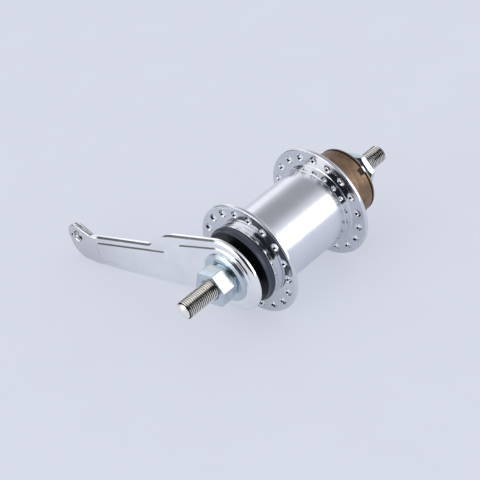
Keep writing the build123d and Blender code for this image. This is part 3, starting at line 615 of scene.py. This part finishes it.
def stamped_arm(name):
    """Brake arm as a closed skin. The front's depth is the border's, less the panel's rise eased in over the
    distance inside the panel's outline, plus a quarter ellipse of the distance from the arm's outline. The
    back has the same panel, and a lip runs round it that grows into the web between the two ears."""
    edge = arm_edge()
    panel = panel_edge()[::3]
    outer, inner, zone = zones(edge)
    count = len(outer)
    along = np.roll(outer, -1, axis=0) - np.roll(outer, 1, axis=0)
    along = along / np.linalg.norm(along, axis=1)[:, None]
    inward = np.stack((-along[:, 1], along[:, 0]), axis=-1)
    bend = 3.0
    # The front's panel wall goes from before to after the panel's outline, and the back's lies further in
    before, after, behind = 0.8, 1.9, 2.4
    wall = 1.25
    knee = outer + inward * bend
    beyond = np.linalg.norm(inner - knee, axis=1)
    length = bend + beyond

    def at(distance):
        """Points at distances in from the outline: square to it at first, then straight to the inner line."""
        first = np.minimum(distance, bend)[..., None]
        rest = (np.maximum(distance - bend, 0) / beyond)[..., None]
        return outer + inward * first + (inner - knee) * rest

    look = length * np.linspace(0, 1, 60)[:, None]
    inside = depth_inside(at(look), panel) > 0
    crossing = np.where(inside.any(axis=0), look[inside.argmax(axis=0), np.arange(count)], 0.5 * length)
    crossing = np.clip(crossing, 2.6, length - behind)
    near = np.arange(-14, 15)
    crossing = crossing[(np.arange(count)[:, None] + near) % count].mean(axis=1)
    rise = sizes().panel_rise / MM
    plate = sizes().arm_plate / MM
    face = (WASHER[0] + sizes().washer_thick) / MM + rise
    roll_share = 1 - np.cos(np.linspace(0, math.pi / 2, 11))[:, None]
    front = np.concatenate((
        np.minimum(border_width(outer[:, 0]), crossing - before - 0.3) * roll_share,
        crossing + np.linspace(-before, after, 22)[:, None],
        crossing + after + (length - crossing - after) * np.linspace(0, 1, 25)[1:, None],
    ))
    spots = at(front)
    rim = depth_inside(spots, edge[::3])
    rim[0] = 0
    tip = toward_ears(spots[..., 0])
    drop = ROLL_DROP * (1 - tip) + EAR_ROLL_DROP * tip
    step = np.clip(1 - rim / border_width(spots[..., 0]), 0, 1)
    roll = drop * (1 - np.sqrt(1 - step**2))
    from_hole = np.linalg.norm(spots - strap_centre(), axis=-1)
    sink = 0.4 * ease(1 - (from_hole - sizes().strap_hole / MM) / 0.7)
    height = face + roll + sink - rise * ease((depth_inside(spots, panel) + 0.3) / wall)
    rear = np.concatenate((
        length - (length - crossing - behind) * np.linspace(0, 1, 14)[:, None],
        crossing + np.linspace(2.2, 0.0, 8)[:, None],
    ))
    rear = np.maximum(rear, behind + 0.001 * np.arange(len(rear))[::-1][:, None])
    rear_spots = at(rear)
    rear_height = face + plate - rise * ease((depth_inside(rear_spots, panel) - 0.7) / wall)
    u = outer[:, 0]
    share = np.zeros(count)
    share[zone == 2] = np.linspace(0, 1, (zone == 2).sum())
    lip_end = face + sizes().arm_lip / MM
    ear_end = ARM_END / MM
    lip = np.full(count, lip_end)
    lip = np.where(zone == 1, np.interp(u, (HEEL_U - 4.3, HEEL_U), (lip_end, ear_end)), lip)
    back = np.full(count, face + plate)
    lip = np.where(zone == 2, np.interp(share, (0, 0.40, 0.47), (ear_end, ear_end, face + plate)), lip)
    lip = np.where(zone == 3, np.interp(u, (EAR_U - 2.3, EAR_U), (lip_end, face + plate)), lip)
    thick = 1.9
    edge_r = 0.25
    lip_rows = (
        (thick + edge_r, back), (thick, np.minimum(back + 0.3, lip)), (thick, lip - edge_r), (thick - edge_r, lip),
        (edge_r, lip), (0.0, lip - edge_r),
    )
    lip_spots = np.stack([at(np.full(count, float(distance))) for distance, _ in lip_rows])
    lip_height = np.stack([depth for _, depth in lip_rows])
    flat = np.concatenate((spots, rear_spots, lip_spots))
    depth = np.concatenate((height, rear_height, lip_height))
    faces = quads(len(flat), count, True, True)
    bridge = np.repeat(np.arange(len(flat)) == len(spots) - 1, count)
    slit = np.tile((zone == 1) | (zone == 3), len(flat))
    faces = faces[~(bridge & slit)]
    gap = 1.4
    ear, ear_depth, ear_faces = rear_ear(face + plate + gap, ear_end)
    faces = np.concatenate((faces, ear_faces + depth.size))
    flat = np.concatenate((flat.reshape(-1, 2), ear))
    depth = np.concatenate((depth.ravel(), ear_depth))
    droop = sizes().arm_droop
    x = -flat[:, 0] * math.cos(droop) - flat[:, 1] * math.sin(droop)
    z = -flat[:, 0] * math.sin(droop) + flat[:, 1] * math.cos(droop)
    return mesh_from(name, np.stack((x, depth, z), axis=-1) * MM, faces, 40.0)


def rear_ear(start, end):
    """Second ear: a plate between two depths, a ring from the strap hole out to its outline and back."""
    length = sizes().arm_length / MM
    loop = cornered(
        (arc((length + 0.6, -2.4), 7.4, 20, 125), 0), ((length - 10.0, -0.6), 2), ((length - 11.3, -15.0), 1),
        (arc((length - 2.5, -5.2), 9.8, -78, 0), 0),
    )
    hole = strap_centre()
    edge_r = 0.25
    count = 160
    way = arc((0, 0), 1.0, 0, 360, count + 1)[:-1]
    angle = np.unwrap(np.arctan2(loop[:, 1] - hole[1], loop[:, 0] - hole[0]))
    reach = np.linalg.norm(loop - hole, axis=1)
    want = np.arctan2(way[:, 1], way[:, 0])
    order = np.argsort(angle % TURN)
    outer = np.interp(want % TURN, (angle % TURN)[order], reach[order], period=TURN)
    small = sizes().strap_hole / MM
    hole_r = np.full(count, small)
    middle = (outer + small) / 2
    radius = np.stack((hole_r, middle, outer - edge_r, outer, outer, outer - edge_r, middle, hole_r))
    height = np.array((start, start, start, start + edge_r, end - edge_r, end, end, end))
    flat = hole + way * radius[..., None]
    return flat.reshape(-1, 2), np.repeat(height, count), quads(len(height), count, True, True)


# Materials


def new_material(name):
    material = bpy.data.materials.new(name)
    material.use_nodes = True
    nodes = material.node_tree.nodes
    shader = nodes["Principled BSDF"]
    return material, nodes, material.node_tree.links, shader


def object_noise(nodes, links, scale, stretch=(1, 1, 1), detail=4.0):
    """Noise in the piece's own space, stretched along its axes."""
    where = nodes.new("ShaderNodeTexCoord")
    mapping = nodes.new("ShaderNodeMapping")
    mapping.inputs["Scale"].default_value = stretch
    noise = nodes.new("ShaderNodeTexNoise")
    noise.inputs["Scale"].default_value = scale
    noise.inputs["Detail"].default_value = detail
    links.new(where.outputs["Object"], mapping.inputs["Vector"])
    links.new(mapping.outputs["Vector"], noise.inputs["Vector"])
    return noise


def spread(nodes, links, source, lowest, highest, start=0.3, end=0.7):
    """Maps a texture's grey from one range to another, easing at both ends."""
    ramp = nodes.new("ShaderNodeMapRange")
    ramp.interpolation_type = "SMOOTHSTEP"
    ramp.inputs["From Min"].default_value = start
    ramp.inputs["From Max"].default_value = end
    ramp.inputs["To Min"].default_value = lowest
    ramp.inputs["To Max"].default_value = highest
    links.new(source, ramp.inputs["Value"])
    return ramp.outputs["Result"]


def tint(nodes, links, factor, first, second):
    """Colour between two by a grey value. The first is a plain colour or the output of another node."""
    mix = nodes.new("ShaderNodeMix")
    mix.data_type = "RGBA"
    if isinstance(first, bpy.types.NodeSocket):
        links.new(first, mix.inputs["A"])
    else:
        mix.inputs["A"].default_value = (*first, 1)
    mix.inputs["B"].default_value = (*second, 1)
    links.new(factor, mix.inputs["Factor"])
    return mix.outputs["Result"]


def bump(nodes, links, height, distance, strength, shader):
    node = nodes.new("ShaderNodeBump")
    node.inputs["Distance"].default_value = distance
    node.inputs["Strength"].default_value = strength
    links.new(height, node.inputs["Height"])
    links.new(node.outputs["Normal"], shader.inputs["Normal"])


def scaled(colour, factor):
    return tuple(min(1.0, channel * factor) for channel in colour)


def plated(name, colour, dull, bright, grain=900.0, variation=0.06, bump_height=0.0, stretch=(1, 1, 1)):
    """Plated metal: roughness and brightness drift a little with two noises, and a fine grain gives bump."""
    material, nodes, links, shader = new_material(name)
    shader.inputs["Metallic"].default_value = 1.0
    broad = object_noise(nodes, links, 55.0, (1, 1, 1), 3.0)
    fine = object_noise(nodes, links, grain, stretch, 5.0)
    colour_out = tint(
        nodes, links, spread(nodes, links, broad.outputs["Fac"], 0, 1),
        scaled(colour, 1 - variation), scaled(colour, 1 + variation),
    )
    links.new(colour_out, shader.inputs["Base Color"])
    links.new(spread(nodes, links, fine.outputs["Fac"], bright, dull), shader.inputs["Roughness"])
    if bump_height:
        bump(nodes, links, fine.outputs["Fac"], bump_height, 1.0, shader)
    return material


def chrome_material():
    return plated("polished_chrome", tuple(colours().chrome), 0.10, 0.06, 500.0, 0.03, 0.0008 * MM)


def satin_material():
    return plated(
        "satin_barrel_plate", tuple(colours().satin), 0.25, 0.20, 1400.0, 0.03, 0.0003 * MM, (0.12, 1, 0.12)
    )


def zinc_material():
    return plated("bright_zinc", tuple(colours().zinc), 0.26, 0.14, 420.0, 0.08, 0.003 * MM)


def arm_material():
    """Pale plate with a fine frosted grain, and painted shade: its base colour darkens towards the ears, standing in
    for the dimmer reflection there.
    """
    material = plated("arm_plate", tuple(colours().arm), 0.19, 0.12, 1300.0, 0.03, 0.001 * MM)
    nodes = material.node_tree.nodes
    links = material.node_tree.links
    shader = nodes["Principled BSDF"]
    bright = shader.inputs["Base Color"].links[0].from_socket
    where = nodes.new("ShaderNodeTexCoord")
    split = nodes.new("ShaderNodeSeparateXYZ")
    links.new(where.outputs["Object"], split.inputs["Vector"])
    # Painted shade: towards the ears the base colour falls to 0.72 of the plate's, in place of a dimmer reflection.
    dull = spread(nodes, links, split.outputs["X"], 1, 0, -0.122, -0.060)
    links.new(tint(nodes, links, dull, bright, scaled(colours().arm, 0.72)), shader.inputs["Base Color"])
    return material


def from_axle(nodes, links):
    """Distance from the axle's middle line, in the piece's own space."""
    where = nodes.new("ShaderNodeTexCoord")
    flatten = nodes.new("ShaderNodeVectorMath")
    flatten.operation = "MULTIPLY"
    flatten.inputs[1].default_value = (1, 0, 1)
    length = nodes.new("ShaderNodeVectorMath")
    length.operation = "LENGTH"
    links.new(where.outputs["Object"], flatten.inputs[0])
    links.new(flatten.outputs["Vector"], length.inputs[0])
    return length.outputs["Value"]


def thread_material():
    """Grey steel with painted shade and painted highlight, by the distance from the axle: nearly black in the
    thread's roots and in a ring at each end dome's edge, twice as bright on the crests and in the domes' middles; its
    roughness drifts with a noise.
    """
    material, nodes, links, shader = new_material("rolled_thread_steel")
    shader.inputs["Metallic"].default_value = 1.0
    distance = from_axle(nodes, links)
    # Painted shade and painted highlight: the colour below is nearly black at the depth of the thread's roots and in
    # a ring at each dome's edge, and twice the steel's on the crests and in the domes' middles.
    crest = spread(nodes, links, distance, 0, 1, THREAD_R - 0.40 * MM, THREAD_R - 0.12 * MM)
    tip = spread(nodes, links, distance, 1, 0, THREAD_R - 0.95 * MM, THREAD_R - 0.7 * MM)
    bright = nodes.new("ShaderNodeMath")
    bright.operation = "MAXIMUM"
    links.new(crest, bright.inputs[0])
    links.new(tip, bright.inputs[1])
    grime = object_noise(nodes, links, 700.0)
    links.new(
        tint(nodes, links, bright.outputs["Value"], scaled(colours().thread, 0.03), scaled(colours().thread, 2.0)),
        shader.inputs["Base Color"],
    )
    links.new(spread(nodes, links, grime.outputs["Fac"], 0.18, 0.28), shader.inputs["Roughness"])
    bump(nodes, links, grime.outputs["Fac"], 0.003 * MM, 0.5, shader)
    return material


def driver_material():
    """Brown oiled finish: mottled brown over steel, with fine turning marks, and painted shade: nearly black in the
    groove and the notches, nearer to the axle than the shoulder."""
    material, nodes, links, shader = new_material("brown_oiled_steel")
    shader.inputs["Metallic"].default_value = 0.7
    mottle = object_noise(nodes, links, 160.0, (1, 1, 1), 6.0)
    lathe = object_noise(nodes, links, 900.0, (0.05, 1, 0.05), 2.0)
    brown = tuple(colours().driver)
    worn = tint(
        nodes, links, spread(nodes, links, mottle.outputs["Fac"], 0, 1), scaled(brown, 0.75), scaled(brown, 1.4)
    )
    # Painted shade: the groove and the notches, nearer the axle than the shoulder, are darkened to an eighth of the
    # brown.
    cut = spread(nodes, links, from_axle(nodes, links), 1, 0, DRIVER_R - 1.3 * MM, DRIVER_R - 0.8 * MM)
    links.new(tint(nodes, links, cut, worn, scaled(brown, 0.12)), shader.inputs["Base Color"])
    links.new(spread(nodes, links, lathe.outputs["Fac"], 0.30, 0.46), shader.inputs["Roughness"])
    bump(nodes, links, lathe.outputs["Fac"], 0.01 * MM, 0.7, shader)
    return material


def cap_material():
    """Black stove enamel with a painted slate sheen on its outer band, standing in for a reflection: the colour
    follows the distance from the axle."""
    material, nodes, links, shader = new_material("black_enamel")
    peel = object_noise(nodes, links, 500.0)
    # Painted reflection: the outer band takes the slate sheen colour in place of what the enamel would reflect there.
    band = spread(
        nodes, links, from_axle(nodes, links), 0, 1, CAP_BEAD_R - 1.6 * MM, CAP_BEAD_R - 0.9 * MM
    )
    links.new(tint(nodes, links, band, tuple(colours().cap), tuple(colours().cap_painted_sheen)), shader.inputs["Base Color"])
    shader.inputs["Specular IOR Level"].default_value = 0.4
    links.new(spread(nodes, links, peel.outputs["Fac"], 0.20, 0.26), shader.inputs["Roughness"])
    return material


def give(piece, material):
    piece.data.materials.clear()
    piece.data.materials.append(material)


def fit_piece(piece, body, slot, material, *nodes):
    """Finishes a piece: its material, the body that it rides on and the nodes it replaces. The slot is not used."""
    give(piece, material)
    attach(piece, body)
    for node in nodes:
        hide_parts(node)


# Pieces


class HUB_OT_axle(bpy.types.Operator):
    """Threaded axle"""

    bl_idname = "coaster_hub.axle"
    bl_label = "Axle"

    def execute(self, context):
        piece = threaded_axle("threaded_axle")
        fit_piece(piece, "axle_set", "axle_steel", thread_material(), "axle")
        return {"FINISHED"}


class HUB_OT_nuts(bpy.types.Operator):
    """Two locknuts and the bright washer under the brake-side one"""

    bl_idname = "coaster_hub.nuts"
    bl_label = "Locknuts and washer"

    def execute(self, context):
        zinc = zinc_material()
        brake = hex_nut("brake_locknut_piece", BRAKE_NUT[0], BRAKE_NUT[1], math.radians(7.02), 0.85 * MM, 0.75 * MM)
        fit_piece(brake, "axle_set", "bright_zinc", zinc, "brake_side_locknut")
        drive = hex_nut("drive_locknut_piece", DRIVE_NUT[1], DRIVE_NUT[0], math.radians(4.52), 0.85 * MM, 0.6 * MM)
        fit_piece(drive, "axle_set", "bright_zinc", zinc, "drive_side_locknut")
        collar_r = sizes().across_flats / 2 - 0.3 * MM
        face = WASHER[0] + 1.2 * MM
        back = WASHER[0] + sizes().washer_thick
        washer = turned(
            "bright_washer",
            [
                (THREAD_R + 0.02 * MM, WASHER[0]), (collar_r, WASHER[0]), (collar_r, face), (11.2 * MM, face),
                (WASHER_R, back - 0.5 * MM), (WASHER_R, back), (THREAD_R + 0.02 * MM, back),
            ],
            0.2 * MM,
        )
        fit_piece(washer, "axle_set", "bright_zinc", zinc, "arm_washer")
        give(frame["nodes"]["drive_side_spacer"], zinc)
        return {"FINISHED"}


class HUB_OT_arm(bpy.types.Operator):
    """Stamped brake arm"""

    bl_idname = "coaster_hub.arm"
    bl_label = "Brake arm"

    def execute(self, context):
        arm = stamped_arm("stamped_brake_arm")
        fit_piece(arm, "axle_set", "arm_plate", arm_material(), "brake_arm")
        return {"FINISHED"}


class HUB_OT_cap(bpy.types.Operator):
    """Black dust cap with its rolled bead"""

    bl_idname = "coaster_hub.cap"
    bl_label = "Dust cap"

    def execute(self, context):
        black = cap_material()
        wall = 0.8 * MM
        r = CAP_BEAD_R - 0.8 * MM
        bead = CAP[1] - 1.4 * MM
        seat = 12.0 * MM
        cap = turned(
            "black_dust_cap",
            [
                (seat, CAP[0]), (r, CAP[0]), (r, bead), (CAP_BEAD_R, bead + 0.25 * MM), (CAP_BEAD_R, CAP[1]),
                (r - wall, CAP[1]), (r - wall, CAP[0] + wall), (seat, CAP[0] + wall),
            ],
            [0.1 * MM, 0.5 * MM, 0.2 * MM, 0.5 * MM, 0.5 * MM, 0.15 * MM, 0.15 * MM, 0.1 * MM],
        )
        fit_piece(cap, "axle_set", "black_cap", black, "brake_side_dust_cap")
        give(frame["nodes"]["driver_dust_cap"], black)
        return {"FINISHED"}


class HUB_OT_shell(bpy.types.Operator):
    """Barrel and both flanges of the shell"""

    bl_idname = "coaster_hub.shell"
    bl_label = "Hub shell"

    def execute(self, context):
        start, end = SHELL
        groove = start + 1.4 * MM
        bore = SHELL_R - 2.0 * MM
        floor = SHELL_R - 0.5 * MM
        split = BRAKE_FLANGE[0] + 1.0 * MM
        chrome = chrome_material()
        neck = turned(
            "polished_neck",
            [
                (bore, start), (SHELL_R, start), (SHELL_R, groove), (floor, groove), (floor, groove + 0.5 * MM),
                (SHELL_R, groove + 0.5 * MM), (SHELL_R, split), (bore, split),
            ],
            [0.2 * MM, 0.35 * MM, 0.2 * MM, 0.1 * MM, 0.1 * MM, 0.2 * MM, 0, 0],
            segments=320,
        )
        fit_piece(neck, "hub_shell", "flange_chrome", chrome, "shell_barrel")
        tube = turned(
            "satin_barrel",
            [(bore, split), (SHELL_R, split), (SHELL_R, end), (bore, end)],
            [0, 0, 0.35 * MM, 0.2 * MM],
            segments=320,
        )
        fit_piece(tube, "hub_shell", "shell_satin", satin_material(), "shell_barrel")
        turn = sizes().spoke_turn
        half = math.pi / sizes().spokes
        brake = flange("brake_flange_piece", BRAKE_FLANGE, 1, turn)
        fit_piece(brake, "hub_shell", "flange_chrome", chrome, "brake_side_flange")
        drive = flange("drive_flange_piece", DRIVE_FLANGE, -1, turn + half)
        fit_piece(drive, "hub_shell", "flange_chrome", chrome, "drive_side_flange")
        return {"FINISHED"}


class HUB_OT_driver(bpy.types.Operator):
    """Brown driver with its sprocket seat"""

    bl_idname = "coaster_hub.driver"
    bl_label = "Driver"

    def execute(self, context):
        give(frame["nodes"]["driver"], driver_material())
        return {"FINISHED"}


class HUB_OT_inner(bpy.types.Operator):
    """Bearings, cones, clutch and brake shoes inside the hub"""

    bl_idname = "coaster_hub.inner"
    bl_label = "Inner works"

    def execute(self, context):
        turned_grain = (0.1, 1, 0.1)
        fine = 0.004 * MM
        by_slot = {
            "hardened_steel": plated(
                "ground_oiled_steel", (0.48, 0.47, 0.46), 0.32, 0.20, 800.0, 0.08, fine, turned_grain
            ),
            "shoe_steel": plated("greased_shoe_steel", (0.30, 0.28, 0.26), 0.45, 0.28, 300.0, 0.15, 0.010 * MM),
            "ball_steel": plated("polished_ball_steel", (0.74, 0.74, 0.76), 0.10, 0.05, 300.0, 0.03),
            "cage_strip": plated("pressed_cage_strip", (0.56, 0.54, 0.50), 0.40, 0.28, 500.0, 0.08, fine),
            "spring_wire": plated("spring_wire_steel", (0.42, 0.42, 0.42), 0.36, 0.26, 600.0, 0.06, fine),
        }
        for part in frame["record"]["subparts"]:
            if part["material_slot"] in by_slot:
                give(frame["nodes"][part["node"]], by_slot[part["material_slot"]])
        # Painted shade: the brake cone, seen only in the dark gap between the arm and the dust cap, is coloured
        # nearly black.
        shaded_cone = plated("cone_steel_painted_shade", (0.035, 0.040, 0.050), 0.40, 0.30, 700.0, 0.10)
        give(frame["nodes"]["brake_cone"], shaded_cone)
        return {"FINISHED"}


# Stage


def lamp(name, place, size, power):
    """Rectangular lamp that faces the middle of the hub."""
    data = bpy.data.lights.new(name, "AREA")
    data.shape = "RECTANGLE"
    data.size, data.size_y = size
    data.energy = power
    light = bpy.data.objects.new(name, data)
    light.location = place
    light.rotation_euler = (Vector((0, 52 * MM, 0)) - Vector(place)).to_track_quat("-Z", "Y").to_euler()
    bpy.context.scene.collection.objects.link(light)


def floor_material():
    """Pale floor: diffuse, with a share of its own colour for the rays that show the backdrop."""
    material = bpy.data.materials.new("pale_floor")
    material.use_nodes = True
    nodes = material.node_tree.nodes
    links = material.node_tree.links
    nodes.clear()
    out = nodes.new("ShaderNodeOutputMaterial")
    diffuse = nodes.new("ShaderNodeBsdfDiffuse")
    grain = object_noise(nodes, links, 30.0)
    pale = tuple(colours().backdrop)
    shade = tint(nodes, links, grain.outputs["Fac"], scaled(pale, 0.97), pale)
    links.new(shade, diffuse.inputs["Color"])
    glow = nodes.new("ShaderNodeEmission")
    links.new(shade, glow.inputs["Color"])
    mix = nodes.new("ShaderNodeMixShader")
    links.new(backdrop_ray(nodes, links, 0.68, 0.40), mix.inputs["Fac"])
    links.new(diffuse.outputs["BSDF"], mix.inputs[1])
    links.new(glow.outputs["Emission"], mix.inputs[2])
    links.new(mix.outputs["Shader"], out.inputs["Surface"])
    return material


def backdrop_ray(nodes, links, camera, metal, rest=0.0):
    """Rest, plus a share for rays from the camera and a share for rays seen in metal or through glass."""
    path = nodes.new("ShaderNodeLightPath")
    seen = nodes.new("ShaderNodeMath")
    seen.operation = "MAXIMUM"
    links.new(path.outputs["Is Glossy Ray"], seen.inputs[0])
    links.new(path.outputs["Is Transmission Ray"], seen.inputs[1])
    amount = None
    for ray, share in ((path.outputs["Is Camera Ray"], camera), (seen.outputs["Value"], metal)):
        add = nodes.new("ShaderNodeMath")
        add.operation = "MULTIPLY_ADD"
        links.new(ray, add.inputs[0])
        add.inputs[1].default_value = share
        add.inputs[2].default_value = rest
        if amount:
            links.new(amount, add.inputs[2])
        amount = add.outputs["Value"]
    return amount


def toward(nodes, links, direction, start, end):
    """Grey that rises to one as a ray turns from the angle start to the angle end off a direction."""
    where = nodes.new("ShaderNodeTexCoord")
    dot = nodes.new("ShaderNodeVectorMath")
    dot.operation = "DOT_PRODUCT"
    dot.inputs[1].default_value = Vector(direction).normalized()
    links.new(where.outputs["Generated"], dot.inputs[0])
    return spread(
        nodes, links, dot.outputs["Value"], 0, 1, math.cos(math.radians(start)), math.cos(math.radians(end))
    )


def studio_world():
    """Bright room with a white wall at the drive side, a white window at the front left, greys overhead and far
    to the left, and a wide dark doorway behind the camera."""
    world = bpy.data.worlds.new("soft_studio")
    bpy.context.scene.world = world
    world.use_nodes = True
    nodes = world.node_tree.nodes
    links = world.node_tree.links
    # Direction, the angles off it where each shade starts and is full, and its colour
    shades = (
        ((0.88, 0.48, -0.02), 50, 14, (1.25, 1.25, 1.25)),
        ((-0.64, -0.70, 0.30), 48, 22, (1.20, 1.20, 1.22)),
        ((-0.14, 0.52, 0.84), 40, 10, (0.37, 0.38, 0.41)),
        ((-0.95, -0.20, 0.04), 32, 20, (0.10, 0.11, 0.12)),
        ((0.70, -0.53, 0.46), 49, 42, (0.012, 0.015, 0.020)),
    )
    room = (0.76, 0.78, 0.84)
    for direction, start, end, colour in shades:
        room = tint(nodes, links, toward(nodes, links, direction, start, end), room, colour)
    room = tint(nodes, links, backdrop_ray(nodes, links, -1.0, -1.0, 1.0), room, (0.80, 0.81, 0.84))
    links.new(room, nodes["Background"].inputs["Color"])
    nodes["Background"].inputs["Strength"].default_value = 1.0


def photo_camera():
    """Camera at the photograph's viewing angle, from its aim point, distance, azimuth, elevation and roll."""
    azimuth, elevation, roll = (math.radians(angle) for angle in (51.08, 34.57, -13.94))
    aim = Vector((-34.11 * MM, 52.0 * MM, -17.65 * MM))
    distance = 753.8 * MM
    back = Vector((
        math.sin(azimuth) * math.cos(elevation), -math.cos(azimuth) * math.cos(elevation), math.sin(elevation),
    ))
    level = Vector((0, 0, 1)).cross(back).normalized()
    upright = back.cross(level)
    right = level * math.cos(roll) + upright * math.sin(roll)
    up = upright * math.cos(roll) - level * math.sin(roll)
    data = bpy.data.cameras.new("photo_camera")
    data.sensor_width = 36.0
    data.lens = 113.46
    data.clip_start = 0.01
    data.clip_end = 20.0
    camera = bpy.data.objects.new("photo_camera", data)
    turn = Matrix((right, up, back)).transposed()
    camera.matrix_world = Matrix.Translation(aim + back * distance) @ turn.to_4x4()
    bpy.context.scene.collection.objects.link(camera)
    bpy.context.scene.camera = camera


class HUB_OT_stage(bpy.types.Operator):
    """Floor, backdrop light and camera"""

    bl_idname = "coaster_hub.stage"
    bl_label = "Stage"

    def execute(self, context):
        side = 3.0
        corners = [(-side, -side, FLOOR_Z), (side, -side, FLOOR_Z), (side, side, FLOOR_Z), (-side, side, FLOOR_Z)]
        mesh = bpy.data.meshes.new("pale_floor")
        mesh.from_pydata(corners, [], [(0, 1, 2, 3)])
        floor = bpy.data.objects.new("pale_floor", mesh)
        bpy.context.scene.collection.objects.link(floor)
        give(floor, floor_material())
        studio_world()
        lamp("window_right", (0.9, 0.45, 0.30), (0.9, 0.7), 2.4)
        lamp("window_left", (-0.75, 0.35, 0.30), (0.5, 0.4), 0.2)
        lamp("window_front", (-0.25, -0.9, 0.40), (0.6, 0.4), 1.3)
        photo_camera()
        context.scene.view_settings.view_transform = "Standard"
        return {"FINISHED"}


class HUB_PT_sidebar(bpy.types.Panel):
    """Lists the pieces of the hub"""

    bl_idname = "HUB_PT_sidebar"
    bl_label = "Coaster Brake Hub"
    bl_space_type = "VIEW_3D"
    bl_region_type = "UI"
    bl_category = "Hub"

    def draw(self, context):
        column = self.layout.column()
        for operator in OPERATORS:
            column.operator(operator.bl_idname)
        for group in (context.scene.hub_sizes, context.scene.hub_colours):
            box = self.layout.box()
            for name in group.__annotations__:
                box.prop(group, name)


OPERATORS = (
    HUB_OT_axle, HUB_OT_nuts, HUB_OT_arm, HUB_OT_cap, HUB_OT_shell, HUB_OT_driver, HUB_OT_inner, HUB_OT_stage,
)
CLASSES = (HubSizes, HubColours, *OPERATORS, HUB_PT_sidebar)


def register():
    for cls in CLASSES:
        bpy.utils.register_class(cls)
    bpy.types.Scene.hub_sizes = PointerProperty(type=HubSizes)
    bpy.types.Scene.hub_colours = PointerProperty(type=HubColours)


def unregister():
    del bpy.types.Scene.hub_colours
    del bpy.types.Scene.hub_sizes
    for cls in reversed(CLASSES):
        bpy.utils.unregister_class(cls)


def main():
    register()
    bpy.ops.coaster_hub.axle()
    bpy.ops.coaster_hub.nuts()
    bpy.ops.coaster_hub.arm()
    bpy.ops.coaster_hub.cap()
    bpy.ops.coaster_hub.shell()
    bpy.ops.coaster_hub.driver()
    bpy.ops.coaster_hub.inner()
    bpy.ops.coaster_hub.stage()


if __name__ == "__main__":
    main()
